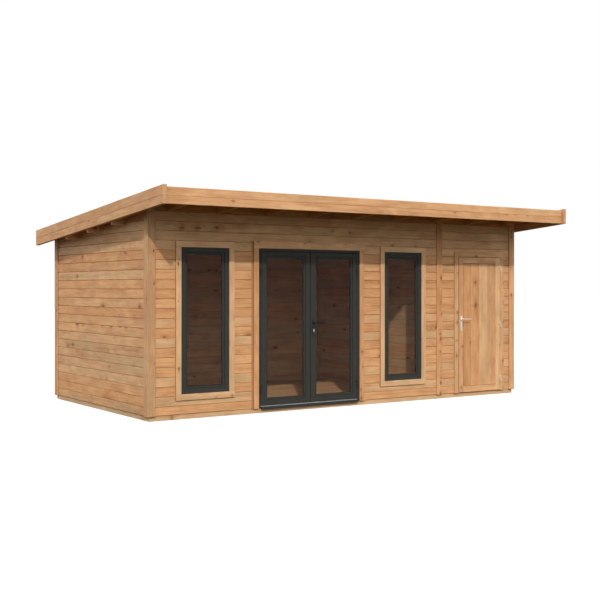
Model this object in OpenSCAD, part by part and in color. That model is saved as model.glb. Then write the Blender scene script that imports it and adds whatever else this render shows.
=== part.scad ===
/* [House] */
// Width across the outer faces of the side walls
house_w = 5990; // [5800:10:6600]
// Depth across the outer faces of the front and back walls
house_d = 3020; // [2600:10:3600]
// Thickness of the solid board walls
wall_t = 44; // [36:1:60]
// Height of the front tips of the barge boards above the ground
roof_peak_z = 2712; // [2640:1:2900]
// Fall of the roof from front to back, in degrees
roof_pitch = 4.5; // [3.5:0.1:6]
// Distance from the left wall face to the middle of the double door
door_from_left = 2309; // [2200:1:2400]
// Width of the store, from the middle of the cross wall to the right wall face
store_w = 1466; // [1420:1:1520]
// Distance from the right wall face to the middle of the store door
store_door_from_right = 692; // [660:1:720]

/* [Base] */
// Height of the ground bearers
bearer_h = 58; // [45:1:80]
// Width of the ground bearers
bearer_w = 95; // [80:1:120]
// How far the bearers stand in from the wall faces
bearer_inset = 11; // [5:1:25]
// Number of floor joists between the front and back bearers
joist_count = 3; // [1:2:5]
// Thickness of the floor boards
floor_t = 19; // [16:1:27]
// Movement gap round the floor boards
floor_gap = 3; // [1:1:8]

/* [Roof] */
// Overhang of the barge boards in front of the front wall
front_overhang = 838; // [700:1:950]
// Overhang of the barge boards behind the back wall
back_overhang = 208; // [160:1:300]
// Overhang of the roof beyond each side wall
side_overhang = 222; // [180:1:300]
// Thickness of the barge boards
barge_t = 50; // [40:1:60]
// Upright height of the barge boards
barge_h = 213; // [195:1:230]
// How far the barge boards stand above the roof felt
barge_rise = 15; // [10:1:25]
// How far the fascias stand back from the tips of the barge boards
fascia_setback = 40; // [20:1:60]
// Thickness of the fascia boards
fascia_t = 28; // [20:1:40]
// Height of one fascia board; the front fascia has two, the back fascia one
fascia_board_h = 94; // [85:1:105]
// Depth of the groove between the two boards of the front fascia
fascia_groove = 6; // [3:1:10]
// Thickness of the roof felt
felt_t = 4; // [3:1:6]
// Thickness of the roof boards
deck_t = 19; // [16:1:27]
// Upright depth of the rafters
rafter_h = 120; // [95:1:145]
// Width of the rafters and of the outlookers
rafter_w = 45; // [40:1:60]
// Distance between the middles of neighbouring rafters
rafter_pitch = 685; // [500:5:900]
// Upright depth of the outlookers that carry the barge boards
outlooker_h = 70; // [45:1:90]
// Number of outlookers over each side wall
outlooker_count = 4; // [3:1:5]
// Gap where one sloping layer of the roof lies on another or on a wall
seat_gap = 0.2; // [0.1:0.1:0.5]

/* [Trim boards] */
// Thickness of the corner boards, the cross wall board and the architraves
trim_t = 18; // [15:1:24]
// Width of the front face of a corner trim
corner_w = 105; // [95:1:120]
// Width of the side board of a corner trim
corner_return_w = 90; // [70:1:110]
// Width of the board that covers the end of the cross wall
cross_trim_w = 97; // [80:1:120]
// How far the trim boards hang below the walls
trim_drop = 4; // [0:1:12]
// Width of the architraves
architrave_w = 74; // [60:1:80]
// Height of the head board over the double door
door_head_w = 90; // [70:1:100]
// How far a frame reaches behind its architrave
frame_lap = 15; // [10:1:25]

/* [Windows] */
// Distance from the middle of the double door to the middle of a window
window_offset = 1550; // [1500:1:1580]
// Width between the architraves of a window
window_w = 661; // [600:1:700]
// Height between the architraves of a window
window_h = 1765; // [1500:1:1800]
// Height of the lower inner edge of the window architrave above the ground
window_sill_z = 299; // [280:1:400]
// Width of the window frame that shows inside the architrave
window_frame_w = 85; // [60:1:100]
// Width of the set-back glazing bead round the pane
bead_w = 26; // [15:1:40]
// How far the glazing bead stands back from the frame
bead_setback = 8; // [4:1:12]
// Thickness of the sealed glass panes
glass_t = 14; // [8:1:20]
// How far a pane reaches into its frame
glass_lap = 12; // [8:1:14]

/* [Double door] */
// Width between the architraves of the double door
door_w = 1588; // [1500:1:1640]
// Height of the lower edge of the head board above the ground
door_top_z = 2072; // [2000:1:2100]
// Width of the jambs and head that shows inside the architraves
jamb_w = 35; // [28:1:45]
// Depth of the stop behind the leaves
stop_d = 21; // [15:1:30]
// How far the stop laps behind a leaf
stop_lap = 10; // [8:1:14]
// Thickness of the door leaves
leaf_t = 44; // [36:1:56]
// Gap beside the hinges, above the leaves and behind them
leaf_gap = 5; // [5:0.5:6]
// Gap between the two leaves of the double door
meeting_gap = 8; // [7:0.5:10]
// Width of the stiles of the glazed leaves
stile_w = 95; // [85:1:110]
// Height of the top rail of the glazed leaves
top_rail_h = 80; // [70:1:110]
// Height of the bottom rail of the glazed leaves
bottom_rail_h = 90; // [80:1:140]
// Height of the door threshold above the bearers
threshold_h = 27; // [20:1:35]
// How far the nose of the threshold stands out from the wall face
threshold_nose = 32; // [12:1:40]
// Height of the weather bar behind the leaves
weather_bar_h = 16; // [12:1:20]

/* [Store door] */
// Width between the architraves of the store door
store_clear_w = 828; // [780:1:840]
// Height of the lower edge of the store door head board above the ground
store_top_z = 2020; // [1950:1:2050]
// Gap between the free edge of the store leaf and its architrave
free_gap = 7; // [7:0.5:9]
// Gap under the store leaf
store_sill_gap = 6; // [5:1:10]
// Width of the stiles and rails of the store leaf
store_stile_w = 90; // [80:1:110]
// Thickness of the upright boards in the store leaf
store_panel_t = 19; // [15:1:24]
// How far the boards stand back from the face of the store leaf
store_panel_setback = 11; // [6:1:18]
// How far the boards reach into the grooves of the store leaf
panel_lap = 12; // [8:1:15]
// Thickness of the lining that the store leaf closes against
lining_t = 30; // [24:1:36]

/* [Hinges] */
// Radius of the hinge knuckles
knuckle_r = 8; // [6:0.5:9]
// Height of one knuckle
knuckle_h = 45; // [30:1:60]
// Distance of the hinge axis in front of the leaf face
hinge_stand = 9; // [9:0.5:10]
// Radius of the hinge pins
pin_r = 4; // [3:0.5:5]
// Running clearance round a hinge pin
pin_clearance = 0.06; // [0.04:0.01:0.1]
// Gap between the upper and the lower knuckle
knuckle_gap = 0.6; // [0.4:0.1:1]
// Thickness of the hinge flaps
flap_t = 3; // [2:0.5:4]
// Width of a hinge flap on its leaf, jamb or architrave
flap_w = 26; // [20:1:27]
// Height of the lower hinges of the double door above the ground
low_hinge_z = 300; // [250:1:400]
// Height of the upper hinges of the double door above the ground
high_hinge_z = 1780; // [1700:1:1850]
// Height of the lowest store door hinge above the ground
store_low_hinge_z = 235; // [200:1:300]
// Height of the middle store door hinge above the ground
store_mid_hinge_z = 1037; // [800:1:1200]
// Height of the highest store door hinge above the ground
store_high_hinge_z = 1869; // [1750:1:1880]

/* [Handles] */
// Height of the lever spindles above the ground
lever_z = 1120; // [1000:1:1200]
// Distance of the spindles from the free edge of a leaf
lever_in = 43; // [36:1:45]
// Length of the levers
lever_l = 140; // [100:1:160]
// Radius of the lever bars
lever_r = 8; // [6:0.5:10]
// Radius of the lever hubs
hub_r = 11; // [9:0.5:13]
// Distance from the leaf face to the middle of the lever bar
lever_stand = 52; // [40:1:60]
// Radius of the spindles
spindle_r = 4; // [3:0.5:5]
// Room round a spindle in its plates and leaf
spindle_room = 1; // [0.5:0.5:2]
// Room between a lever hub and its plate
hub_room = 0.4; // [0.3:0.1:0.8]
// Width of the lock plates
plate_w = 34; // [30:1:40]
// Length of the lock plates
plate_l = 222; // [180:1:250]
// Thickness of the lock plates
plate_t = 7; // [5:1:10]
// Distance from the top of a lock plate to its spindle
plate_top = 50; // [30:1:70]
// Distance from the spindle down to the key cylinder
cylinder_drop = 92; // [72:1:110]
// Radius of the key cylinder
cylinder_r = 8.5; // [6:0.5:10]
// How far the key cylinder stands out of its plate
cylinder_out = 5; // [2:1:8]

/* [Hidden] */
$fn = 48;
SKIN = 1;
WOOD = "#c08a58";
TRIM = "#c9935f";
DARK = "#3b3e42";
METAL = "#b9bcc0";

half_w = house_w / 2;
front_y = -house_d / 2;
back_y = house_d / 2;
wall_z = bearer_h;
trim_z = wall_z - trim_drop;
floor_z = wall_z + floor_t;

roof_front_y = front_y - front_overhang;
roof_back_y = back_y + back_overhang;
barge_x = half_w + side_overhang;
roof_half_w = barge_x - barge_t;
felt_under = barge_rise + felt_t;
deck_over = felt_under + seat_gap;
deck_under = deck_over + deck_t;
rafter_over = deck_under + seat_gap;
rafter_under = rafter_over + rafter_h;
wall_under = rafter_under + seat_gap;
fascia_front_y = roof_front_y + fascia_setback;
fascia_back_y = roof_back_y - fascia_setback;
tail_under = deck_over + fascia_board_h;
// As many rafters as fit between the corner trims, with one over the middle of the house
rafters_a_side = floor((half_w - corner_w - rafter_w / 2) / rafter_pitch);
rafter_count = 2 * rafters_a_side + 1;
rafter_first_x = -rafter_pitch * rafters_a_side;

door_x = -half_w + door_from_left;
cross_x = half_w - store_w;
store_x = half_w - store_door_from_right;
window_xs = [door_x - window_offset, door_x + window_offset];

frame_d = leaf_t + leaf_gap + stop_d;
door_cut_w = door_w + 2 * frame_lap;
door_cut_z = door_top_z + frame_lap;
pocket_w = door_w - 2 * jamb_w;
pocket_z = door_top_z - jamb_w;
stop_reach = leaf_gap + stop_lap;
passage_w = pocket_w - 2 * stop_reach;
passage_z = pocket_z - stop_reach;
threshold_z = wall_z + threshold_h;
leaf_w = (pocket_w - 2 * leaf_gap - meeting_gap) / 2;
leaf_z = threshold_z + leaf_gap;
leaf_top_z = pocket_z - leaf_gap;
leaf_h = leaf_top_z - leaf_z;
left_leaf_x = door_x - pocket_w / 2 + leaf_gap;
right_leaf_x = door_x + meeting_gap / 2;
left_axis_x = left_leaf_x - leaf_gap / 2;
right_axis_x = right_leaf_x + leaf_w + leaf_gap / 2;
door_axis_y = front_y - hinge_stand;

store_cut_w = store_clear_w + 2 * frame_lap;
store_cut_z = store_top_z + frame_lap;
store_face_y = front_y - trim_t;
store_leaf_x = store_x - store_clear_w / 2 + free_gap;
store_leaf_w = store_clear_w - free_gap - leaf_gap;
store_leaf_z = wall_z + store_sill_gap;
store_leaf_h = store_top_z - leaf_gap - store_leaf_z;
store_axis_x = store_leaf_x + store_leaf_w + leaf_gap / 2;
store_axis_y = store_face_y - hinge_stand;
lining_y = store_face_y + leaf_t + leaf_gap;
lining_end_y = front_y + frame_d;
door_hinge_zs = [low_hinge_z, high_hinge_z];
store_hinge_zs = [store_low_hinge_z, store_mid_hinge_z, store_high_hinge_z];

// Height of the top edge of the barge boards at a distance y along the house
function roof_z(y) = roof_peak_z - (y - roof_front_y) * tan(roof_pitch);

// Middle of rafter number i
function rafter_x(i) = rafter_first_x + i * rafter_pitch;

// Places of the outlookers: one in the front overhang, the rest shared out between the walls
function outlooker_ys() = let (bay = (house_d - 2 * wall_t) / outlooker_count) concat(
    [(fascia_front_y + fascia_t + front_y) / 2],
    [for (i = [0:outlooker_count - 1]) front_y + wall_t + (i + 0.5) * bay]
);

// A block between two corners
module block(low, high) {
    translate(low)
        cube(high - low);
}

// An outline in the plane of depth and height, run along the width of the house
module along_x(x0, x1, outline) {
    translate([x0, 0, 0])
        rotate([90, 0, 90])
            linear_extrude(x1 - x0)
                polygon(outline);
}

// A layer of the roof between two upright distances below the top of the barge boards
module roof_layer(x0, x1, y0, y1, over, under) {
    along_x(x0, x1, [
        [y0, roof_z(y0) - under],
        [y1, roof_z(y1) - under],
        [y1, roof_z(y1) - over],
        [y0, roof_z(y0) - over]
    ]);
}

// An upright board or wall that ends under the roof
module upright(x0, x1, y0, y1, z0, under) {
    along_x(x0, x1, [
        [y0, z0],
        [y1, z0],
        [y1, roof_z(y1) - under],
        [y0, roof_z(y0) - under]
    ]);
}

// A piece of the front wall
module front_wall(x0, x1, z0) {
    upright(x0, x1, front_y, front_y + wall_t, z0, wall_under);
}

// An L-shaped corner trim; side is -1 at the left end of the house and 1 at the right
module corner_trim(side, y0, y1, return_y0, return_y1) {
    outer_x = side * (half_w + trim_t);
    inner_x = outer_x - side * corner_w;
    wall_x = side * half_w;
    upright(min(outer_x, inner_x), max(outer_x, inner_x), y0, y1, trim_z, rafter_over);
    upright(min(outer_x, wall_x), max(outer_x, wall_x), return_y0, return_y1, trim_z, rafter_over);
}

module front_corner_trim(side) {
    color(TRIM)
        corner_trim(side, front_y - trim_t, front_y, front_y, front_y + corner_return_w);
}

module back_corner_trim(side) {
    color(TRIM)
        corner_trim(side, back_y, back_y + trim_t, back_y - corner_return_w, back_y);
}

// Four architrave boards round a window
module window_architrave(x) {
    color(TRIM)
        difference() {
            block(
                [x - window_w / 2 - architrave_w, front_y - trim_t, window_sill_z - architrave_w],
                [x + window_w / 2 + architrave_w, front_y, window_sill_z + window_h + architrave_w]
            );
            block(
                [x - window_w / 2, front_y - trim_t - SKIN, window_sill_z],
                [x + window_w / 2, front_y + SKIN, window_sill_z + window_h]
            );
        }
}

// The hole that a window frame fills
module window_cut(x, skin) {
    block(
        [x - window_w / 2 - frame_lap, front_y - skin, window_sill_z - frame_lap],
        [x + window_w / 2 + frame_lap, front_y + wall_t + skin, window_sill_z + window_h + frame_lap]
    );
}

// A pane set between two depths, with its visible edges at low and high
module pane(x0, x1, z0, z1, y_mid) {
    block(
        [x0 - glass_lap, y_mid - glass_t / 2, z0 - glass_lap],
        [x1 + glass_lap, y_mid + glass_t / 2, z1 + glass_lap]
    );
}

module window_pane(x) {
    inset = window_frame_w;
    pane(
        x - window_w / 2 + inset, x + window_w / 2 - inset,
        window_sill_z + inset, window_sill_z + window_h - inset,
        front_y + wall_t / 2
    );
}

module window_glass(x) {
    color("lightsteelblue", 0.4)
        window_pane(x);
}

module window_frame(x) {
    inset = window_frame_w;
    bead = window_frame_w - bead_w;
    color(DARK)
        difference() {
            window_cut(x, 0);
            block(
                [x - window_w / 2 + inset, front_y - SKIN, window_sill_z + inset],
                [x + window_w / 2 - inset, front_y + wall_t + SKIN, window_sill_z + window_h - inset]
            );
            block(
                [x - window_w / 2 + bead, front_y - SKIN, window_sill_z + bead],
                [x + window_w / 2 - bead, front_y + bead_setback, window_sill_z + window_h - bead]
            );
            window_pane(x);
        }
}

// Two side boards and a head board round a doorway
module doorway_architrave(x, clear_w, clear_z, head_w) {
    color(TRIM)
        difference() {
            block(
                [x - clear_w / 2 - architrave_w, front_y - trim_t, trim_z],
                [x + clear_w / 2 + architrave_w, front_y, clear_z + head_w]
            );
            block(
                [x - clear_w / 2, front_y - trim_t - SKIN, trim_z - SKIN],
                [x + clear_w / 2, front_y + SKIN, clear_z]
            );
        }
}

// Stiles and rails of a glazed leaf, without the hole for a spindle
module glazed_leaf(x) {
    color(DARK)
        difference() {
            block([x, front_y, leaf_z], [x + leaf_w, front_y + leaf_t, leaf_top_z]);
            block(
                [x + stile_w, front_y - SKIN, leaf_z + bottom_rail_h],
                [x + leaf_w - stile_w, front_y + leaf_t + SKIN, leaf_top_z - top_rail_h]
            );
            block(
                [x + stile_w - bead_w, front_y - SKIN, leaf_z + bottom_rail_h - bead_w],
                [x + leaf_w - stile_w + bead_w, front_y + bead_setback, leaf_top_z - top_rail_h + bead_w]
            );
            leaf_pane(x);
        }
}

module leaf_pane(x) {
    pane(
        x + stile_w, x + leaf_w - stile_w,
        leaf_z + bottom_rail_h, leaf_top_z - top_rail_h,
        front_y + leaf_t / 2
    );
}

module leaf_glass(x) {
    color("lightsteelblue", 0.4)
        leaf_pane(x);
}

// A round bar along the depth of the house
module bar_y(x, y0, y1, z, r) {
    translate([x, y0, z])
        rotate([-90, 0, 0])
            cylinder(r = r, h = y1 - y0);
}

// The flap of a hinge, flat on the face that carries it; side says which way it reaches from the axis
module hinge_flap(axis_x, face_y, z, side) {
    near_x = axis_x + side * leaf_gap / 2;
    far_x = near_x + side * flap_w;
    block(
        [min(near_x, far_x), face_y - flap_t, z],
        [max(near_x, far_x), face_y, z + knuckle_h]
    );
}

// Upper halves of the hinges of a leaf, which turn with it
module leaf_hinges(x, axis_y, zs, side) {
    color(METAL)
        for (z = zs)
            difference() {
                union() {
                    translate([x, axis_y, z + knuckle_gap])
                        cylinder(r = knuckle_r, h = knuckle_h);
                    hinge_flap(x, axis_y + hinge_stand, z + knuckle_gap, side);
                }
                translate([x, axis_y, z - SKIN])
                    cylinder(r = pin_r + pin_clearance, h = knuckle_h + knuckle_gap + 2 * SKIN);
            }
}

// Lower halves of the hinges, with the pins that the leaf halves turn on
module hinge_pins(x, axis_y, zs, side) {
    color(METAL)
        for (z = zs) {
            translate([x, axis_y, z - knuckle_h])
                cylinder(r = knuckle_r, h = knuckle_h);
            translate([x, axis_y, z - knuckle_h / 2])
                cylinder(r = pin_r, h = knuckle_h + knuckle_h / 2);
            hinge_flap(x, axis_y + hinge_stand, z - knuckle_h, side);
        }
}

// One long lock plate with round ends and its key cylinder; out is -1 on the outer face, 1 inside
module lock_plate(x, face_y, out) {
    far_y = face_y + out * plate_t;
    tip_y = far_y + out * cylinder_out;
    low_z = lever_z + plate_top - plate_l + plate_w / 2;
    high_z = lever_z + plate_top - plate_w / 2;
    difference() {
        union() {
            block(
                [x - plate_w / 2, min(face_y, far_y), low_z],
                [x + plate_w / 2, max(face_y, far_y), high_z]
            );
            for (z = [low_z, high_z])
                bar_y(x, min(face_y, far_y), max(face_y, far_y), z, plate_w / 2);
            bar_y(x, min(face_y, tip_y), max(face_y, tip_y), lever_z - cylinder_drop, cylinder_r);
        }
        bar_y(x, min(face_y, tip_y) - SKIN, max(face_y, tip_y) + SKIN, lever_z, spindle_r + spindle_room);
    }
}

module lock_plates(x, face_y) {
    color(METAL) {
        lock_plate(x, face_y, -1);
        lock_plate(x, face_y + leaf_t, 1);
    }
}

// One lever: a hub on the spindle, a round elbow and a bar
module lever_arm(x, face_y, out) {
    near_y = face_y + out * (plate_t + hub_room);
    bar_mid_y = face_y + out * lever_stand;
    bar_y(x, min(near_y, bar_mid_y), max(near_y, bar_mid_y), lever_z, hub_r);
    translate([x, bar_mid_y, lever_z])
        sphere(r = hub_r);
    translate([x, bar_mid_y, lever_z])
        rotate([0, 90, 0])
            cylinder(r = lever_r, h = lever_l);
    translate([x + lever_l, bar_mid_y, lever_z])
        sphere(r = lever_r);
}

// The levers on both faces of a leaf, joined by their spindle
module levers(x, face_y) {
    color(METAL) {
        lever_arm(x, face_y, -1);
        lever_arm(x, face_y + leaf_t, 1);
        bar_y(x, face_y - lever_stand, face_y + leaf_t + lever_stand, lever_z, spindle_r);
    }
}

module long_bearers() {
    x = half_w - bearer_inset;
    color(WOOD)
        for (y = [front_y + bearer_inset, back_y - bearer_inset - bearer_w])
            block([-x, y, 0], [x, y + bearer_w, bearer_h]);
}

module end_bearers() {
    y = back_y - bearer_inset - bearer_w;
    color(WOOD)
        for (x = [-half_w + bearer_inset, half_w - bearer_inset - bearer_w])
            block([x, -y, 0], [x + bearer_w, y, bearer_h]);
}

module floor_joists() {
    x = half_w - bearer_inset - bearer_w;
    pitch = (house_d - 2 * bearer_inset - bearer_w) / (joist_count + 1);
    color(WOOD)
        for (i = [1:joist_count]) {
            y = front_y + bearer_inset + bearer_w / 2 + i * pitch;
            block([-x, y - bearer_w / 2, 0], [x, y + bearer_w / 2, bearer_h]);
        }
}

// Room for a doorway's frame in the floor
module floor_cut(x, cut_w) {
    block(
        [x - cut_w / 2 - floor_gap, front_y, wall_z - SKIN],
        [x + cut_w / 2 + floor_gap, front_y + frame_d + floor_gap, floor_z + SKIN]
    );
}

// Floors of the two rooms, cut back round the door frames
module floor_boards() {
    y0 = front_y + wall_t + floor_gap;
    y1 = back_y - wall_t - floor_gap;
    cross_x0 = cross_x - wall_t / 2 - floor_gap;
    cross_x1 = cross_x + wall_t / 2 + floor_gap;
    color(WOOD)
        difference() {
            union() {
                block([-half_w + wall_t + floor_gap, y0, wall_z], [cross_x0, y1, floor_z]);
                block([cross_x1, y0, wall_z], [half_w - wall_t - floor_gap, y1, floor_z]);
            }
            floor_cut(door_x, door_cut_w);
            floor_cut(store_x, store_cut_w);
        }
}

module front_wall_left() {
    color(WOOD)
        difference() {
            front_wall(-half_w, door_x - door_cut_w / 2, wall_z);
            window_cut(window_xs[0], SKIN);
        }
}

module front_wall_over_doors() {
    color(WOOD)
        front_wall(door_x - door_cut_w / 2, door_x + door_cut_w / 2, door_cut_z);
}

module front_wall_right() {
    color(WOOD)
        difference() {
            front_wall(door_x + door_cut_w / 2, cross_x, wall_z);
            window_cut(window_xs[1], SKIN);
        }
}

module store_wall_left() {
    color(WOOD)
        front_wall(cross_x, store_x - store_cut_w / 2, wall_z);
}

module store_wall_over_door() {
    color(WOOD)
        front_wall(store_x - store_cut_w / 2, store_x + store_cut_w / 2, store_cut_z);
}

module store_wall_right() {
    color(WOOD)
        front_wall(store_x + store_cut_w / 2, half_w, wall_z);
}

module side_wall(x0) {
    color(WOOD)
        difference() {
            upright(x0, x0 + wall_t, front_y + wall_t, back_y - wall_t, wall_z, rafter_over);
            outlooker_set(seat_gap);
        }
}

module left_wall() {
    side_wall(-half_w);
}

module right_wall() {
    side_wall(half_w - wall_t);
}

module back_wall() {
    color(WOOD)
        upright(-half_w, half_w, back_y - wall_t, back_y, wall_z, wall_under);
}

module cross_wall() {
    color(WOOD)
        difference() {
            upright(
                cross_x - wall_t / 2, cross_x + wall_t / 2,
                front_y + wall_t, back_y - wall_t, wall_z, rafter_over
            );
            rafter_set(seat_gap);
        }
}

module front_left_corner_trim() {
    front_corner_trim(-1);
}

module front_right_corner_trim() {
    front_corner_trim(1);
}

module back_left_corner_trim() {
    back_corner_trim(-1);
}

module back_right_corner_trim() {
    back_corner_trim(1);
}

module cross_wall_trim() {
    color(TRIM)
        difference() {
            upright(
                cross_x - cross_trim_w / 2, cross_x + cross_trim_w / 2,
                front_y - trim_t, front_y, trim_z, rafter_over
            );
            rafter_set(seat_gap);
        }
}

module left_window_architrave() {
    window_architrave(window_xs[0]);
}

module left_window_frame() {
    window_frame(window_xs[0]);
}

module left_window_glass() {
    window_glass(window_xs[0]);
}

module right_window_architrave() {
    window_architrave(window_xs[1]);
}

module right_window_frame() {
    window_frame(window_xs[1]);
}

module right_window_glass() {
    window_glass(window_xs[1]);
}

module door_architrave() {
    doorway_architrave(door_x, door_w, door_top_z, door_head_w);
}

// Jambs and head with a rebate that the leaves close into
module door_frame() {
    color(DARK)
        difference() {
            block(
                [door_x - door_cut_w / 2, front_y, wall_z],
                [door_x + door_cut_w / 2, front_y + frame_d, door_cut_z]
            );
            block(
                [door_x - pocket_w / 2, front_y - SKIN, wall_z - SKIN],
                [door_x + pocket_w / 2, front_y + leaf_t + leaf_gap, pocket_z]
            );
            block(
                [door_x - passage_w / 2, front_y, wall_z - SKIN],
                [door_x + passage_w / 2, front_y + frame_d + SKIN, passage_z]
            );
        }
}

// Metal threshold with a sloped nose and a weather bar behind the leaves
module door_threshold() {
    bar_y0 = front_y + leaf_t + leaf_gap;
    bar_z = threshold_z + weather_bar_h;
    color(METAL) {
        along_x(door_x - pocket_w / 2, door_x + pocket_w / 2, [
            [front_y - threshold_nose, wall_z],
            [bar_y0, wall_z],
            [bar_y0, threshold_z],
            [front_y, threshold_z],
            [front_y - threshold_nose, threshold_z - threshold_h / 2]
        ]);
        along_x(door_x - passage_w / 2, door_x + passage_w / 2, [
            [front_y, wall_z],
            [front_y + frame_d, wall_z],
            [front_y + frame_d, bar_z],
            [bar_y0, bar_z],
            [bar_y0, threshold_z],
            [front_y, threshold_z]
        ]);
    }
}

module door_hinge_pins() {
    hinge_pins(left_axis_x, door_axis_y, door_hinge_zs, -1);
    hinge_pins(right_axis_x, door_axis_y, door_hinge_zs, 1);
}

module store_architrave() {
    doorway_architrave(store_x, store_clear_w, store_top_z, architrave_w);
}

// Lining of the store doorway, which the leaf closes against
module store_lining() {
    color(WOOD)
        difference() {
            block(
                [store_x - store_cut_w / 2, lining_y, wall_z],
                [store_x + store_cut_w / 2, lining_end_y, store_cut_z]
            );
            block(
                [store_x - store_cut_w / 2 + lining_t, lining_y - SKIN, wall_z - SKIN],
                [store_x + store_cut_w / 2 - lining_t, lining_end_y + SKIN, store_cut_z - lining_t]
            );
        }
}

module store_hinge_pins() {
    hinge_pins(store_axis_x, store_axis_y, store_hinge_zs, 1);
}

module left_leaf_frame() {
    glazed_leaf(left_leaf_x);
}

module left_leaf_glass() {
    leaf_glass(left_leaf_x);
}

module left_leaf_hinges() {
    leaf_hinges(left_axis_x, door_axis_y, door_hinge_zs, 1);
}

module right_leaf_frame() {
    color(DARK)
        difference() {
            glazed_leaf(right_leaf_x);
            bar_y(right_leaf_x + lever_in, front_y - SKIN, front_y + leaf_t + SKIN, lever_z, spindle_r + spindle_room);
        }
}

module right_leaf_glass() {
    leaf_glass(right_leaf_x);
}

module right_leaf_hinges() {
    leaf_hinges(right_axis_x, door_axis_y, door_hinge_zs, -1);
}

module right_leaf_lock_plates() {
    lock_plates(right_leaf_x + lever_in, front_y);
}

module right_leaf_lever() {
    levers(right_leaf_x + lever_in, front_y);
}

// The opening inside the stiles and rails of the store leaf, grown by a margin
module store_panel(margin, y0, y1) {
    block(
        [store_leaf_x + store_stile_w - margin, y0, store_leaf_z + store_stile_w - margin],
        [
            store_leaf_x + store_leaf_w - store_stile_w + margin, y1,
            store_leaf_z + store_leaf_h - store_stile_w + margin
        ]
    );
}

module store_leaf_frame() {
    panel_y = store_face_y + store_panel_setback;
    color(TRIM)
        difference() {
            block(
                [store_leaf_x, store_face_y, store_leaf_z],
                [store_leaf_x + store_leaf_w, store_face_y + leaf_t, store_leaf_z + store_leaf_h]
            );
            store_panel(0, store_face_y - SKIN, store_face_y + leaf_t + SKIN);
            store_panel(panel_lap, panel_y, panel_y + store_panel_t);
            bar_y(
                store_leaf_x + lever_in, store_face_y - SKIN, store_face_y + leaf_t + SKIN,
                lever_z, spindle_r + spindle_room
            );
        }
}

module store_leaf_boards() {
    panel_y = store_face_y + store_panel_setback;
    color(WOOD)
        store_panel(panel_lap, panel_y, panel_y + store_panel_t);
}

module store_leaf_hinges() {
    leaf_hinges(store_axis_x, store_axis_y, store_hinge_zs, -1);
}

module store_leaf_lock_plates() {
    lock_plates(store_leaf_x + lever_in, store_face_y);
}

module store_leaf_lever() {
    levers(store_leaf_x + lever_in, store_face_y);
}

// The rafters from fascia to fascia, their tails cut down to the back fascia, grown by the room round them
module rafter_set(room) {
    reach = rafter_w / 2 + room;
    tip_y = fascia_front_y + fascia_t;
    tail_y = fascia_back_y - fascia_t;
    top = rafter_over - room;
    under = rafter_under + room;
    tail = tail_under + room;
    for (i = [0:rafter_count - 1])
        along_x(rafter_x(i) - reach, rafter_x(i) + reach, [
            [tip_y, roof_z(tip_y) - under],
            [back_y, roof_z(back_y) - under],
            [back_y, roof_z(back_y) - tail],
            [tail_y, roof_z(tail_y) - tail],
            [tail_y, roof_z(tail_y) - top],
            [tip_y, roof_z(tip_y) - top]
        ]);
}

module rafters() {
    color(WOOD)
        rafter_set(0);
}

// Short timbers from the outer rafters over the side walls to the barge boards, grown by the room round them
module outlooker_set(room) {
    inner_x = -rafter_first_x + rafter_w / 2;
    reach = rafter_w / 2 + room;
    for (y = outlooker_ys(), x0 = [-roof_half_w, inner_x])
        roof_layer(
            x0, x0 + roof_half_w - inner_x,
            y - reach, y + reach, rafter_over - room, rafter_over + outlooker_h + room
        );
}

module outlookers() {
    color(WOOD)
        outlooker_set(0);
}

// Blocks that close the wall between the rafters, over the front and the back wall
module eaves_blocks() {
    color(WOOD)
        for (y0 = [front_y, back_y - wall_t], i = [0:rafter_count]) {
            x0 = i == 0 ? -half_w : rafter_x(i - 1) + rafter_w / 2;
            x1 = i == rafter_count ? half_w : rafter_x(i) - rafter_w / 2;
            roof_layer(x0, x1, y0, y0 + wall_t, rafter_over, rafter_under);
        }
}

module roof_boards() {
    color(WOOD)
        roof_layer(
            -roof_half_w, roof_half_w,
            fascia_front_y + fascia_t, fascia_back_y - fascia_t, deck_over, deck_under
        );
}

module roof_felt() {
    color("#3a3c3e")
        roof_layer(-roof_half_w, roof_half_w, fascia_front_y, fascia_back_y, barge_rise, felt_under);
}

// Two stacked boards with a groove between them
module front_fascia() {
    inner_y = fascia_front_y + fascia_t;
    top_z = roof_z(fascia_front_y) - deck_over;
    mid_z = top_z - fascia_board_h;
    low_z = mid_z - fascia_board_h;
    color(TRIM)
        along_x(-roof_half_w, roof_half_w, [
            [inner_y, low_z],
            [fascia_front_y, low_z],
            [fascia_front_y, mid_z - fascia_groove],
            [fascia_front_y + fascia_groove, mid_z],
            [fascia_front_y, mid_z + fascia_groove],
            [fascia_front_y, top_z],
            [inner_y, roof_z(inner_y) - deck_over]
        ]);
}

// One board
module back_fascia() {
    inner_y = fascia_back_y - fascia_t;
    low_z = roof_z(fascia_back_y) - tail_under;
    color(TRIM)
        along_x(-roof_half_w, roof_half_w, [
            [inner_y, low_z],
            [fascia_back_y, low_z],
            [fascia_back_y, roof_z(fascia_back_y) - deck_over],
            [inner_y, roof_z(inner_y) - deck_over]
        ]);
}

module barge_boards() {
    color(TRIM)
        for (x0 = [-barge_x, roof_half_w])
            roof_layer(x0, x0 + barge_t, roof_front_y, roof_back_y, 0, barge_h);
}

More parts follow.
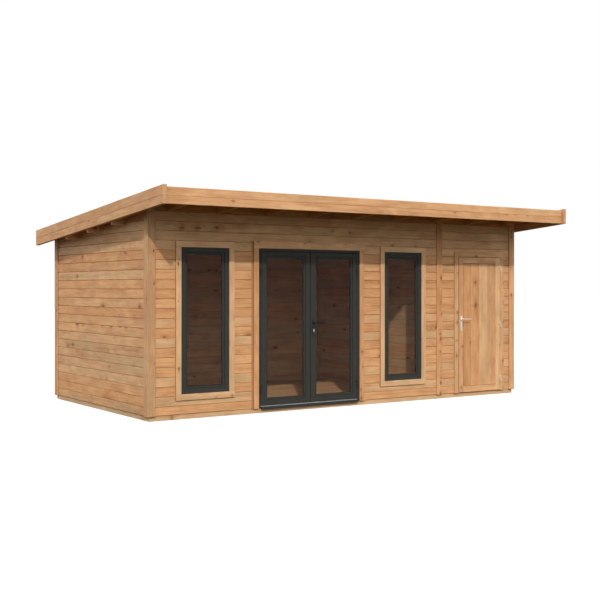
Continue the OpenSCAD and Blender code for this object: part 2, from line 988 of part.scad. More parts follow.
long_bearers();
end_bearers();
floor_joists();
floor_boards();
front_wall_left();
front_wall_over_doors();
front_wall_right();
store_wall_left();
store_wall_over_door();
store_wall_right();
left_wall();
right_wall();
back_wall();
cross_wall();
front_left_corner_trim();
front_right_corner_trim();
back_left_corner_trim();
back_right_corner_trim();
cross_wall_trim();
left_window_architrave();
left_window_frame();
left_window_glass();
right_window_architrave();
right_window_frame();
right_window_glass();
door_architrave();
door_frame();
door_threshold();
door_hinge_pins();
store_architrave();
store_lining();
store_hinge_pins();
left_leaf_frame();
left_leaf_glass();
left_leaf_hinges();
right_leaf_frame();
right_leaf_glass();
right_leaf_hinges();
right_leaf_lock_plates();
right_leaf_lever();
store_leaf_frame();
store_leaf_boards();
store_leaf_hinges();
store_leaf_lock_plates();
store_leaf_lever();
rafters();
outlookers();
eaves_blocks();
roof_boards();
roof_felt();
front_fascia();
back_fascia();
barge_boards();
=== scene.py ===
import math
import random

import bmesh
import bpy
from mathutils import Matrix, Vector


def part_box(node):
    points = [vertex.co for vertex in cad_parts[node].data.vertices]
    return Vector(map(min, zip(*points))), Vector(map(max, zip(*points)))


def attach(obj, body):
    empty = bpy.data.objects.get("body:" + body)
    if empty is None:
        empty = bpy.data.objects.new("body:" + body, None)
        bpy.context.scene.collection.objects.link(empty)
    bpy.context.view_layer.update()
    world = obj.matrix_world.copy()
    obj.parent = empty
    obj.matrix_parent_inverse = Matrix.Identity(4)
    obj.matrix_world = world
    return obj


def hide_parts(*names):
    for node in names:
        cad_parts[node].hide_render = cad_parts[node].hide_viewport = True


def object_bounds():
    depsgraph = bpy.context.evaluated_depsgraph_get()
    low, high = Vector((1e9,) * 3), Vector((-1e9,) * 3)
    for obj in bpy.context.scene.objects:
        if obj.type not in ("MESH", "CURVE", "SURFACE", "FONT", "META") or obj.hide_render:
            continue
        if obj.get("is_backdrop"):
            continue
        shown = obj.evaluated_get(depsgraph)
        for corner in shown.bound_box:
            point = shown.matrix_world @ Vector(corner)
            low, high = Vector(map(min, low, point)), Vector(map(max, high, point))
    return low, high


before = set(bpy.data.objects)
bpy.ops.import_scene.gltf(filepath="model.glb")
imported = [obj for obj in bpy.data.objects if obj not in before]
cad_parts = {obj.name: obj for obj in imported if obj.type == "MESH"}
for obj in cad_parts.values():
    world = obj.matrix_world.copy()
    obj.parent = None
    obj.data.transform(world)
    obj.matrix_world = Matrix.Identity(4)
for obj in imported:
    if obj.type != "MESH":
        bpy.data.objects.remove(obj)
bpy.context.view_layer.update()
dice = random.Random()  # seeded anew for each piece
print("frame loaded,", len(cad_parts), "nodes")


def place(tree, kind, inputs=None, **props):
    node = tree.nodes.new(kind)
    for key, value in props.items():
        setattr(node, key, value)
    for key, value in (inputs or {}).items():
        if isinstance(value, bpy.types.NodeSocket):
            tree.links.new(value, node.inputs[key])
        else:
            node.inputs[key].default_value = value
    return node


def maths(tree, operation, first, second=0.0):
    return place(tree, "ShaderNodeMath", {0: first, 1: second}, operation=operation).outputs[0]


def ramp(tree, value, fromLow, fromHigh, toLow=0.0, toHigh=1.0):
    node = place(tree, "ShaderNodeMapRange", {
        "Value": value, "From Min": fromLow, "From Max": fromHigh, "To Min": toLow, "To Max": toHigh,
    }, interpolation_type="SMOOTHSTEP")
    return node.outputs["Result"]


colorMix = {"share": 0, "first": 6, "second": 7, "result": 2}  # places of a Mix node's colour sockets


def blendColors(tree, share, first, second, mode="MIX"):
    node = place(tree, "ShaderNodeMix", {
        colorMix["share"]: share, colorMix["first"]: first, colorMix["second"]: second,
    }, data_type="RGBA", blend_type=mode)
    return node.outputs[colorMix["result"]]


def newGroup(name, inputs, outputs):
    group = bpy.data.node_groups.new(name, "ShaderNodeTree")
    for label, value in inputs.items():
        kind = "NodeSocketColor" if isinstance(value, tuple) else "NodeSocketFloat"
        socket = group.interface.new_socket(name=label, in_out="INPUT", socket_type=kind)
        socket.default_value = value
    for label in outputs:
        kind = "NodeSocketColor" if label == "Color" else "NodeSocketFloat"
        group.interface.new_socket(name=label, in_out="OUTPUT", socket_type=kind)
    return group, group.nodes.new("NodeGroupInput").outputs, group.nodes.new("NodeGroupOutput").inputs


def newMaterial(name):
    material = bpy.data.materials.new(name)
    material.use_nodes = True
    tree = material.node_tree
    tree.nodes.clear()
    shader = tree.nodes.new("ShaderNodeBsdfPrincipled")
    output = tree.nodes.new("ShaderNodeOutputMaterial")
    tree.links.new(shader.outputs[0], output.inputs["Surface"])
    return material, tree, shader, output


grainStart = {
    "Pale": (0.815, 0.47, 0.234, 1), "Deep": (0.44, 0.203, 0.087, 1), "Olive": (0.46, 0.31, 0.15, 1),
    "Knot": (0.21, 0.07, 0.019, 1), "Heart": (0.37, 0.145, 0.042, 1), "Knots": 0.15, "Knot Size": 1.15,
    "Knot Cells": 4.6, "Rings": 0.18, "Streaks": 0.45, "Clouds": 0.62, "Lanes": 0.2, "Board Change": 0.24,
    "Weathering": 0.42,
}
# each pattern's waves a metre along and across the board, its detail and its roughness
grainNoise = {
    "sway": (30.0, 60.0, 2.0, 0.55), "warp": (0.45, 6.5, 2.0, 0.55), "streaks": (1.5, 48.0, 4.0, 0.62),
    "fibre": (8.0, 380.0, 2.0, 0.55), "clouds": (2.6, 6.0, 3.0, 0.6), "lanes": (0.5, 13.0, 2.0, 0.55),
    "patches": (1.5, 5.0, 3.0, 0.6),
}
# sizes in metres; core, halo, narrow, tall and heart fade between two counts of knot radii
knot = {
    "swayAlong": 0.010, "swayAcross": 0.008, "drawnOut": (0.32, 0.72), "across": 1.1,
    "radius": (0.008, 0.021), "none": 0.0002, "core": (0.45, 1.25), "halo": (0.8, 3.6),
    "narrow": (0.2, 1.6), "tall": (0.8, 4.0), "streaked": 0.55, "heart": (0.2, 0.9), "cover": 0.85,
    "dent": 0.5,
}
grainMix = {
    "toneTurn": 17.31, "middle": 0.46, "ringBend": 0.09, "ringTurns": 95.0, "lanes": (0.5, 0.7),
    "dampTurn": (-0.06, 0.06), "damp": (0.48, 0.7), "streakGain": 1.5, "fibre": 0.22, "cloudGain": 1.8,
    "halo": 0.22, "streak": 0.32, "hue": (0.4965, 0.503), "saturation": (0.94, 1.04),
    "roughFrom": (0.2, 0.8), "rough": (0.55, 0.74), "ringRelief": 0.35, "fibreRelief": 0.65,
}


# solid wood: the grain attribute holds metres along, across and through each board
def makeGrainGroup():
    tree, given, out = newGroup("boardGrain", grainStart, ("Color", "Roughness", "Height"))
    spot = place(tree, "ShaderNodeAttribute", attribute_name="grain").outputs["Vector"]
    tone = place(tree, "ShaderNodeAttribute", attribute_name="tone").outputs["Fac"]
    axes = place(tree, "ShaderNodeSeparateXYZ", {0: spot}).outputs
    tone2 = maths(tree, "FRACT", maths(tree, "MULTIPLY", tone, grainMix["toneTurn"]))

    def noise(name):
        along, across, detail, rough = grainNoise[name]
        stretched = place(tree, "ShaderNodeCombineXYZ", {
            0: maths(tree, "MULTIPLY", axes[0], along),
            1: maths(tree, "MULTIPLY", axes[1], across),
            2: maths(tree, "MULTIPLY", axes[2], across),
        }).outputs[0]
        return place(tree, "ShaderNodeTexNoise", {
            "Vector": stretched, "Scale": 1.0, "Detail": detail, "Roughness": rough,
        }).outputs[0]

    # knots: a few cells of a flat cell pattern hold one, drawn out along the grain
    sway = noise("sway")
    flat = place(tree, "ShaderNodeCombineXYZ", {
        0: maths(tree, "ADD", axes[0], maths(tree, "MULTIPLY", sway, knot["swayAlong"])),
        1: maths(tree, "ADD", axes[1], maths(tree, "MULTIPLY", sway, knot["swayAcross"])),
    }).outputs[0]
    cells = place(tree, "ShaderNodeTexVoronoi", {
        "Vector": flat, "Scale": given["Knot Cells"]}, voronoi_dimensions="2D")
    chance = place(tree, "ShaderNodeSeparateColor", {0: cells.outputs["Color"]}).outputs
    away = place(tree, "ShaderNodeVectorMath", {
        0: flat, 1: cells.outputs["Position"]}, operation="SUBTRACT").outputs[0]
    aside = place(tree, "ShaderNodeSeparateXYZ", {0: away}).outputs
    oval = place(tree, "ShaderNodeCombineXYZ", {
        0: maths(tree, "MULTIPLY", aside[0], ramp(tree, chance[2], 0.0, 1.0, *knot["drawnOut"])),
        1: maths(tree, "MULTIPLY", aside[1], knot["across"]),
    }).outputs[0]
    distance = place(tree, "ShaderNodeVectorMath", {0: oval}, operation="LENGTH").outputs["Value"]
    radius = maths(tree, "MULTIPLY", ramp(tree, chance[0], 0.0, 1.0, *knot["radius"]), given["Knot Size"])
    radius = maths(tree, "MULTIPLY", radius, maths(tree, "LESS_THAN", chance[1], given["Knots"]))
    radius = maths(tree, "MAXIMUM", radius, knot["none"])
    ratio = maths(tree, "DIVIDE", distance, radius)
    core = ramp(tree, ratio, *knot["core"], 1.0, 0.0)
    halo = ramp(tree, ratio, *knot["halo"], 1.0, 0.0)

    def fade(offset, limits):
        radii = maths(tree, "DIVIDE", maths(tree, "ABSOLUTE", offset), radius)
        return ramp(tree, radii, *limits, 1.0, 0.0)

    # some knots throw a streak across the board
    streak = maths(tree, "MULTIPLY", fade(aside[0], knot["narrow"]), fade(aside[1], knot["tall"]))
    streak = maths(tree, "MULTIPLY", streak, maths(tree, "LESS_THAN", chance[2], knot["streaked"]))

    warp = maths(tree, "ADD", noise("warp"), maths(tree, "MULTIPLY", halo, grainMix["ringBend"]))
    wave = maths(tree, "SINE", maths(tree, "MULTIPLY", warp, grainMix["ringTurns"]))
    rings = place(tree, "ShaderNodeMath", {0: wave, 1: 0.5, 2: 0.5}, operation="MULTIPLY_ADD").outputs[0]
    streaks = noise("streaks")
    fibre = noise("fibre")
    clouds = noise("clouds")
    lanes = ramp(tree, noise("lanes"), *grainMix["lanes"])
    patches = maths(tree, "ADD", noise("patches"), ramp(tree, tone2, 0.0, 1.0, *grainMix["dampTurn"]))
    damp = ramp(tree, patches, *grainMix["damp"])

    depth = grainMix["middle"]
    for value, amount, gain in (
            (rings, given["Rings"], 1.0), (streaks, given["Streaks"], grainMix["streakGain"]),
            (fibre, grainMix["fibre"], 1.0), (clouds, given["Clouds"], grainMix["cloudGain"]),
            (tone, given["Board Change"], 1.0)):
        swing = maths(tree, "MULTIPLY", maths(tree, "SUBTRACT", value, 0.5), amount)
        depth = maths(tree, "ADD", depth, maths(tree, "MULTIPLY", swing, gain))
    for value, amount in ((lanes, given["Lanes"]), (halo, grainMix["halo"]), (streak, grainMix["streak"])):
        depth = maths(tree, "ADD", depth, maths(tree, "MULTIPLY", value, amount))
    depth = place(tree, "ShaderNodeClamp", {0: depth}).outputs[0]
    color = blendColors(tree, depth, given["Pale"], given["Deep"])
    color = blendColors(tree, maths(tree, "MULTIPLY", damp, given["Weathering"]), color, given["Olive"])
    hue = place(tree, "ShaderNodeHueSaturation", {
        "Hue": ramp(tree, tone2, 0.0, 1.0, *grainMix["hue"]),
        "Saturation": ramp(tree, tone2, 1.0, 0.0, *grainMix["saturation"]),
        "Color": color,
    }).outputs[0]
    heart = blendColors(tree, ramp(tree, ratio, *knot["heart"]), given["Knot"], given["Heart"])
    color = blendColors(tree, maths(tree, "MULTIPLY", core, knot["cover"]), hue, heart)
    tree.links.new(color, out["Color"])
    tree.links.new(ramp(tree, streaks, *grainMix["roughFrom"], *grainMix["rough"]), out["Roughness"])
    height = maths(tree, "ADD", maths(tree, "MULTIPLY", rings, grainMix["ringRelief"]),
                   maths(tree, "MULTIPLY", fibre, grainMix["fibreRelief"]))
    height = maths(tree, "SUBTRACT", height, maths(tree, "MULTIPLY", core, knot["dent"]))
    tree.links.new(height, out["Height"])
    return tree


finishStart = {
    "Base": (0.04, 0.045, 0.05, 1), "Change": 0.15, "Sheets": 0.0, "Broad": 0.6, "Gloss Low": 0.35,
    "Gloss High": 0.5, "Size": 240.0, "Stretch": 1.0,
}
finishNoise = {"fineDetail": 3.0, "broadSize": 5.0, "broadDetail": 2.0, "low": 0.3, "high": 0.7}


# paint, rubber, felt and metal: fine and broad noise in colour and gloss
def makeFinishGroup():
    tree, given, out = newGroup("fineFinish", finishStart, ("Color", "Roughness", "Height"))
    where = place(tree, "ShaderNodeTexCoord").outputs["Object"]
    tone = place(tree, "ShaderNodeAttribute", attribute_name="tone").outputs["Fac"]
    pull = place(tree, "ShaderNodeCombineXYZ", {0: 1.0, 1: 1.0, 2: given["Stretch"]}).outputs[0]
    pulled = place(tree, "ShaderNodeVectorMath", {0: where, 1: pull}, operation="MULTIPLY").outputs[0]
    fine = place(tree, "ShaderNodeTexNoise", {
        "Vector": pulled, "Scale": given["Size"], "Detail": finishNoise["fineDetail"]}).outputs[0]
    broad = place(tree, "ShaderNodeTexNoise", {
        "Vector": where, "Scale": finishNoise["broadSize"], "Detail": finishNoise["broadDetail"],
    }).outputs[0]
    mixed = maths(tree, "ADD", maths(tree, "MULTIPLY", broad, given["Broad"]),
                  maths(tree, "MULTIPLY", fine, maths(tree, "SUBTRACT", 1.0, given["Broad"])))
    level = maths(tree, "MULTIPLY", maths(tree, "SUBTRACT", mixed, 0.5), given["Change"])
    level = maths(tree, "ADD", 1.0, level)
    level = maths(tree, "ADD", level, maths(tree, "MULTIPLY", tone, given["Sheets"]))
    bright = place(tree, "ShaderNodeCombineColor", {0: level, 1: level, 2: level}).outputs[0]
    tree.links.new(blendColors(tree, 1.0, given["Base"], bright, "MULTIPLY"), out["Color"])
    gloss = place(tree, "ShaderNodeMapRange", {
        "Value": mixed, "From Min": finishNoise["low"], "From Max": finishNoise["high"],
        "To Min": given["Gloss Low"], "To Max": given["Gloss High"]}).outputs[0]
    tree.links.new(gloss, out["Roughness"])
    tree.links.new(fine, out["Height"])
    return tree


grainGroup = makeGrainGroup()
finishGroup = makeFinishGroup()
surface = {"woodBump": 0.0012, "woodShine": 0.3, "finishBump": 0.0006}


def dressMaterial(name, group, values, relief, bumpDeep, shine, metallic=0.0):
    material, tree, shader, _ = newMaterial(name)
    look = place(tree, "ShaderNodeGroup", values, node_tree=group).outputs
    bump = place(tree, "ShaderNodeBump", {
        "Strength": relief, "Distance": bumpDeep, "Height": look["Height"]}).outputs[0]
    for key, source in (("Base Color", look["Color"]), ("Roughness", look["Roughness"]), ("Normal", bump)):
        tree.links.new(source, shader.inputs[key])
    shader.inputs["Metallic"].default_value = metallic
    shader.inputs["Specular IOR Level"].default_value = shine
    return material


def makeWood(name, relief=0.35, **values):
    return dressMaterial(name, grainGroup, values, relief, surface["woodBump"], surface["woodShine"])


def makeFinish(name, metallic=0.0, relief=0.05, shine=0.5, **values):
    return dressMaterial(name, finishGroup, values, relief, surface["finishBump"], shine, metallic)


wallWood = makeWood("wallWood")
trimStart = {
    "Pale": (0.815, 0.478, 0.245, 1), "Deep": (0.48, 0.23, 0.10, 1), "Knot": (0.14, 0.042, 0.011, 1),
    "Board Change": 0.3, "Weathering": 0.25}
trimWood = makeWood("trimWood", **trimStart, **{"Knots": 0.27, "Knot Size": 0.7, "Knot Cells": 8.0})
eavesWood = makeWood("eavesWood", **trimStart, **{"Knots": 0.16, "Knot Size": 0.8, "Knot Cells": 5.0})
# the roof timbers are deepened with painted shade, for the dark under the eaves
shadedRoofWood = makeWood("shadedRoofWood", **{
    "Pale": (0.68, 0.35, 0.125, 1), "Deep": (0.34, 0.135, 0.04, 1), "Weathering": 0.3})
floorWood = makeWood("floorWood", **{
    "Pale": (0.76, 0.46, 0.24, 1), "Deep": (0.48, 0.23, 0.10, 1)})
baseWood = makeWood("baseWood", 0.5, **{
    "Pale": (0.82, 0.52, 0.285, 1), "Deep": (0.48, 0.275, 0.14, 1), "Clouds": 0.5, "Board Change": 0.5})
panelWood = makeWood("panelWood", **{
    "Streaks": 0.2, "Rings": 0.1, "Clouds": 0.62, "Lanes": 0.12, "Knots": 0.12, "Board Change": 0.34,
    "Weathering": 0.3})

matt = {"Gloss Low": 0.7, "Gloss High": 0.9}
darkPaint = makeFinish("darkPaint", shine=0.12, Base=(0.0425, 0.0425, 0.0392, 1), Change=0.25)
# black rubber for the glazing seals and spacers, and painted shade in the key slots
blackRubberAndSlotShade = makeFinish("blackRubberAndSlotShade", Base=(0.012, 0.012, 0.013, 1))
# painted shade for the recess round the store door's panel and the gaps round its leaf
paintedGapShade = makeFinish("paintedGapShade", shine=0.1, Base=(0.07, 0.028, 0.010, 1), **matt)
# painted shade for the left edges of the architraves and the wall beside the doors
architraveEdgeShade = makeFinish("architraveEdgeShade", shine=0.1, Base=(0.44, 0.22, 0.10, 1), **matt)
feltGrit = makeFinish("feltGrit", relief=0.7, Base=(0.045, 0.047, 0.050, 1), Change=1.3, Size=300.0, **{
    "Broad": 0.25, "Sheets": 0.3, "Gloss Low": 0.8, "Gloss High": 0.95})
paleMetal = makeFinish("paleMetal", 0.6, Base=(0.68, 0.69, 0.7, 1), Stretch=0.05, **{
    "Gloss Low": 0.35, "Gloss High": 0.5})
darkMetal = makeFinish("darkMetal", 0.4, shine=0.3, Base=(0.034, 0.034, 0.033, 1), **{
    "Gloss Low": 0.38, "Gloss High": 0.52})
zincMetal = makeFinish("zincMetal", 0.75, Base=(0.96, 0.92, 0.84, 1), Change=0.2, Size=60.0, **{
    "Gloss Low": 0.32, "Gloss High": 0.45})
dullZinc = makeFinish("dullZinc", 0.2, Base=(0.70, 0.55, 0.41, 1), Change=0.4, Size=60.0, **{
    "Gloss Low": 0.45, "Gloss High": 0.6})

glassStart = {"Base Color": (0.895, 0.905, 0.895, 1), "Roughness": 0.0, "Transmission Weight": 1.0,
              "IOR": 1.125}
glassShade = (0.965, 0.97, 0.965, 1)  # what a pane lets through to shadows and scattered light


def makeGlass():
    material, tree, shader, output = newMaterial("clearPane")
    for key, value in glassStart.items():
        shader.inputs[key].default_value = value
    light = tree.nodes.new("ShaderNodeLightPath").outputs
    unseen = maths(tree, "MAXIMUM", light["Is Shadow Ray"], light["Is Diffuse Ray"])
    clear = place(tree, "ShaderNodeBsdfTransparent", {"Color": glassShade})
    mix = place(tree, "ShaderNodeMixShader", {0: unseen, 1: shader.outputs[0], 2: clear.outputs[0]})
    tree.links.new(mix.outputs[0], output.inputs["Surface"])
    return material


clearPane = makeGlass()
print("materials made")


bargeLow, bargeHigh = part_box("barge_boards")
wallLow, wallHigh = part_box("front_wall_left")[0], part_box("back_wall")[1]
roof = {"pitch": math.radians(4.5), "frontY": bargeLow.y, "peak": bargeHigh.z}
shell = {"wall": 0.044, "deck": 0.019, "rafterDeep": 0.120}


def roofZ(y):
    return roof["peak"] - (y - roof["frontY"]) * math.tan(roof["pitch"])


def roofCut(under):
    spot = Vector((0, roof["frontY"], roof["peak"] - under))
    return spot, Vector((0, math.sin(roof["pitch"]), math.cos(roof["pitch"])))


def spread(low, high, wide, count):
    return [low + i * (high - low - wide) / (count - 1) for i in range(count)]


# how far the grain is shifted along, across and through a board, and the most of a side that is eased
timber = {"shift": (60, 9, 9), "easeMost": 0.45}


def newTimber(name):
    dice.seed(name)
    bm = bmesh.new()
    bm.verts.layers.float_vector.new("grain")
    bm.verts.layers.float.new("tone")
    return bm


# one board with eased edges; with onRoof its heights count from the barge tops
# a shade is its depth of colour, 0.5 the middle and more deeper; the finer digits turn the hue
def addBoard(bm, low, high, along, ease, onRoof=False, cuts=(), seed=None, shade=None, tint=0.0):
    grain = bm.verts.layers.float_vector["grain"]
    tone = bm.verts.layers.float["tone"]
    pick = dice if seed is None else random.Random(seed)
    shift = Vector([pick.uniform(0, most) for most in timber["shift"]])
    drawn = pick.random()
    shade = (drawn if shade is None else shade) + tint
    size = [high[i] - low[i] for i in range(3)]
    across = max((i for i in range(3) if i != along), key=lambda i: size[i])
    through = 3 - along - across
    eases = ease if isinstance(ease, tuple) else (ease,) * 3
    eases = [min(e, s * timber["easeMost"]) for e, s in zip(eases, size)]
    spots = {}
    for corner in [(a, b, c) for a in (0, 1) for b in (0, 1) for c in (0, 1)]:
        for axis in range(3):
            p = [high[i] if corner[i] else low[i] for i in range(3)]
            for other in range(3):
                if other != axis:
                    p[other] += -eases[other] if corner[other] else eases[other]
            v = bm.verts.new((p[0], p[1], p[2] + roofZ(p[1])) if onRoof else p)
            v[grain] = shift + Vector((p[along], p[across], p[through]))
            v[tone] = shade
            spots[corner, axis] = v
    faces = []
    for axis in range(3):
        u, w = [i for i in range(3) if i != axis]
        for side in (0, 1):
            ring = []
            for a, b in ((0, 0), (1, 0), (1, 1), (0, 1)):
                corner = [0, 0, 0]
                corner[axis], corner[u], corner[w] = side, a, b
                ring.append(spots[tuple(corner), axis])
            faces.append(bm.faces.new(ring))
        for a in (0, 1):
            for b in (0, 1):
                ends = []
                for side in (0, 1):
                    corner = [0, 0, 0]
                    corner[axis], corner[u], corner[w] = side, a, b
                    ends.append(tuple(corner))
                faces.append(bm.faces.new([
                    spots[ends[0], u], spots[ends[0], w], spots[ends[1], w], spots[ends[1], u]]))
    for corner in {key[0] for key in spots}:
        faces.append(bm.faces.new([spots[corner, axis] for axis in range(3)]))
    for point, normal in cuts:
        faces = [f for f in faces if f.is_valid]
        corners = dict.fromkeys(v for f in faces for v in f.verts)
        sides = dict.fromkeys(e for f in faces for e in f.edges)
        geom = [*corners, *sides, *faces]
        cut = bmesh.ops.bisect_plane(bm, geom=geom, plane_co=point, plane_no=normal, clear_outer=True)
        edges = [e for e in cut["geom_cut"] if isinstance(e, bmesh.types.BMEdge) and e.is_valid]
        if edges:
            bmesh.ops.edgeloop_fill(bm, edges=edges)


def finishPiece(bm, name, body, material, nodes=()):
    bmesh.ops.recalc_face_normals(bm, faces=bm.faces[:])
    mesh = bpy.data.meshes.new(name)
    bm.to_mesh(mesh)
    bm.free()
    mesh.materials.append(material)
    piece = bpy.data.objects.new(name, mesh)
    bpy.context.scene.collection.objects.link(piece)
    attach(piece, body)
    if nodes:
        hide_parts(*nodes)


# a tint deepens the colour of all the boards of a wall; on the left wall it is painted shade on that side
# of the house
cladding = {"cover": 0.1165, "firstJoint": 0.161, "least": 0.012, "endEase": 0.0004,
            "grooveDeep": 0.010, "grooveTall": 0.0055, "paintedShadeTints": {"left_wall": 0.5}}


def courses(bottom, top):
    joint = cladding["firstJoint"]
    while joint - cladding["cover"] > bottom + cladding["least"]:
        joint -= cladding["cover"]
    edges = [bottom]
    while joint < top - cladding["least"]:
        if joint > bottom + cladding["least"]:
            edges.append(joint)
        joint += cladding["cover"]
    return list(zip(edges, edges[1:] + [top]))


def wallBoards(node, along, cut, opening=None):
    low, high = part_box(node)
    bm = newTimber(node)
    ease = [cladding["grooveDeep"], cladding["grooveDeep"], cladding["grooveTall"]]
    ease[along] = cladding["endEase"]
    front = "front" in node or "store" in node  # a front board runs on past the openings
    tint = cladding["paintedShadeTints"].get(node, 0.0)
    for z0, z1 in courses(low.z, high.z):
        course = round((z1 - cladding["firstJoint"]) / cladding["cover"])
        seed = f"{'front' if front else node} {course}"
        stretches = [(low[along], high[along], z0, z1)]
        if opening:
            (a0, a1), (o0, o1) = opening
            if z1 > o0 and z0 < o1:
                stretches = [(low[along], a0, z0, z1), (a1, high[along], z0, z1)]
                if z0 < o0:
                    stretches.append((a0, a1, z0, o0))
                if z1 > o1:
                    stretches.append((a0, a1, o1, z1))
        for a, b, bottom, top in stretches:
            p0, p1 = low.copy(), high.copy()
            p0[along], p1[along], p0.z, p1.z = a, b, bottom, top
            addBoard(bm, p0, p1, along, tuple(ease), cuts=[cut], seed=seed, tint=tint)
    finishPiece(bm, node + "_boards", "house", wallWood, [node])


deckLow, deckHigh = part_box("roof_boards")
deckTop = roofZ(deckLow.y) - deckHigh.z
deckUnder = deckTop + shell["deck"]
rafterUnder = deckUnder + shell["rafterDeep"]

for node in ("left_wall", "right_wall", "cross_wall"):
    wallBoards(node, 1, roofCut(deckUnder))
for node in ("front_wall_over_doors", "store_wall_left", "store_wall_over_door", "store_wall_right",
             "back_wall"):
    wallBoards(node, 0, roofCut(rafterUnder))
for node, window in (("front_wall_left", "left_window_frame"),
                     ("front_wall_right", "right_window_frame")):
    low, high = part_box(window)
    wallBoards(node, 0, roofCut(rafterUnder), ((low.x, high.x), (low.z, high.z)))
print("walls clad")


base = {"wide": 0.095, "ease": 0.003, "along": {"long_bearers": 0, "end_bearers": 1, "floor_joists": 0},
        "rows": {"long_bearers": 2, "end_bearers": 2, "floor_joists": 3},
        "shades": {"long_bearers": 0.37, "end_bearers": 0.921, "floor_joists": 0.5}}

for node, along in base["along"].items():
    low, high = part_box(node)
    side = 1 - along
    bm = newTimber(node)
    for edge in spread(low[side], high[side], base["wide"], base["rows"][node]):
        p0, p1 = low.copy(), high.copy()
        p0[side], p1[side] = edge, edge + base["wide"]
        addBoard(bm, p0, p1, along, base["ease"], shade=base["shades"][node])
    finishPiece(bm, node + "_timber", "house", baseWood, [node])

floorPlank = {"width": 0.114, "ease": 0.0015, "gap": 0.003, "least": 0.01}
floorLow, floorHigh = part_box("floor_boards")
crossLow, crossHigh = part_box("cross_wall")
frameLow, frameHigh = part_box("door_frame")
liningLow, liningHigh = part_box("store_lining")
gap = floorPlank["gap"]
bm = newTimber("floor_planks")
y = floorLow.y
while y < floorHigh.y - floorPlank["least"]:
    end = min(y + floorPlank["width"], floorHigh.y)
    for a, b in ((floorLow.x, crossLow.x - gap), (crossHigh.x + gap, floorHigh.x)):
        parts = [(a, b, y)]
        for notchLow, notchHigh in ((frameLow, frameHigh), (liningLow, liningHigh)):
            if a < notchLow.x < b and y < notchHigh.y + gap:
                parts = [(a, notchLow.x - gap, y), (notchHigh.x + gap, b, y)]
                if end > notchHigh.y + 2 * gap:
                    parts.append((notchLow.x - gap, notchHigh.x + gap, notchHigh.y + gap))
        seed = f"floor {y:.3f} {a:.2f}"
        for x0, x1, front in parts:
            addBoard(bm, (x0, front, floorLow.z), (x1, end, floorHigh.z), 0, floorPlank["ease"],
                     seed=seed)
    y = end
finishPiece(bm, "floor_planks", "house", floorWood, ["floor_boards"])
print("base and floor laid")


# each corner's side of the house, then the shades of its face board and its return board
trim = {
    "thick": 0.018, "ease": 0.0028, "over": 0.01,
    "corners": {"front_left_corner_trim": (-1, 1.9, 1.5), "front_right_corner_trim": (1, 0.6, 0.6),
                "back_left_corner_trim": (-1, 0.8, 1.73), "back_right_corner_trim": (1, 0.7, 0.9)},
    "crossShade": 0.927,
}

for node, (side, faceShade, returnShade) in trim["corners"].items():
    low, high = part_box(node)
    bm = newTimber(node)
    front = node.startswith("front")
    thick, top = trim["thick"], high.z + trim["over"]
    faceY = (low.y, low.y + thick) if front else (high.y - thick, high.y)
    sideY = (faceY[1], high.y) if front else (low.y, faceY[0])
    sideX = (low.x, low.x + thick) if side < 0 else (high.x - thick, high.x)
    addBoard(bm, (low.x, faceY[0], low.z), (high.x, faceY[1], top), 2, trim["ease"],
             cuts=[roofCut(deckUnder)], shade=faceShade)
    addBoard(bm, (sideX[0], sideY[0], low.z), (sideX[1], sideY[1], top), 2, trim["ease"],
             cuts=[roofCut(deckUnder)], shade=returnShade)
    finishPiece(bm, node + "_boards", "house", trimWood, [node])

low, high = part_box("cross_wall_trim")
bm = newTimber("cross_wall_trim")
addBoard(bm, low, (high.x, high.y, high.z + trim["over"]), 2, trim["ease"], cuts=[roofCut(deckUnder)],
         shade=trim["crossShade"])
finishPiece(bm, "cross_wall_trim_board", "house", trimWood, ["cross_wall_trim"])


# widths of the side, head and sill boards, then the shades of left, right, head and sill
architraves = {
    "left_window_architrave": ((0.074, 0.074, 0.074), (0.17, 0.34, -0.06, 0.286)),
    "right_window_architrave": ((0.074, 0.074, 0.074), (0.286, 0.17, -0.06, 0.286)),
    "door_architrave": ((0.074, 0.090, 0.0), (0.93, 1.1, 0.15, None)),
    "store_architrave": ((0.074, 0.074, 0.0), (0.67, 0.8, 0.6, None)),
}

for node, ((side, head, sill), shades) in architraves.items():
    low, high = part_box(node)
    bm = newTimber(node)
    for x0, shade in ((low.x, shades[0]), (high.x - side, shades[1])):
        addBoard(bm, (x0, low.y, low.z + sill), (x0 + side, high.y, high.z - head), 2, trim["ease"],
                 shade=shade)
    addBoard(bm, (low.x, low.y, high.z - head), high, 0, trim["ease"], shade=shades[2])
    if sill:
        addBoard(bm, low, (high.x, high.y, low.z + sill), 0, trim["ease"], shade=shades[3])
    finishPiece(bm, node + "_boards", "house", trimWood, [node])

# painted shade: darker skins on the left edges of the architraves, with a strip of painted shade on the
# wall beside the doors
joint = {"out": 0.0005, "deep": 0.002, "ease": 0.0002, "skin": 0.001, "strip": 0.028,
         "nodes": ("left_window_architrave", "right_window_architrave", "door_architrave")}
bm = newTimber("architrave_joints")
for node in joint["nodes"]:
    low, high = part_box(node)
    addBoard(bm, (low.x - joint["skin"], low.y, low.z), (low.x, wallLow.y, high.z), 2, joint["ease"])
addBoard(bm, (low.x - joint["strip"], wallLow.y - joint["out"], low.z),
         (low.x, wallLow.y + joint["deep"], high.z), 2, joint["ease"])
finishPiece(bm, "architrave_joints", "house", architraveEdgeShade)
print("trim fixed")


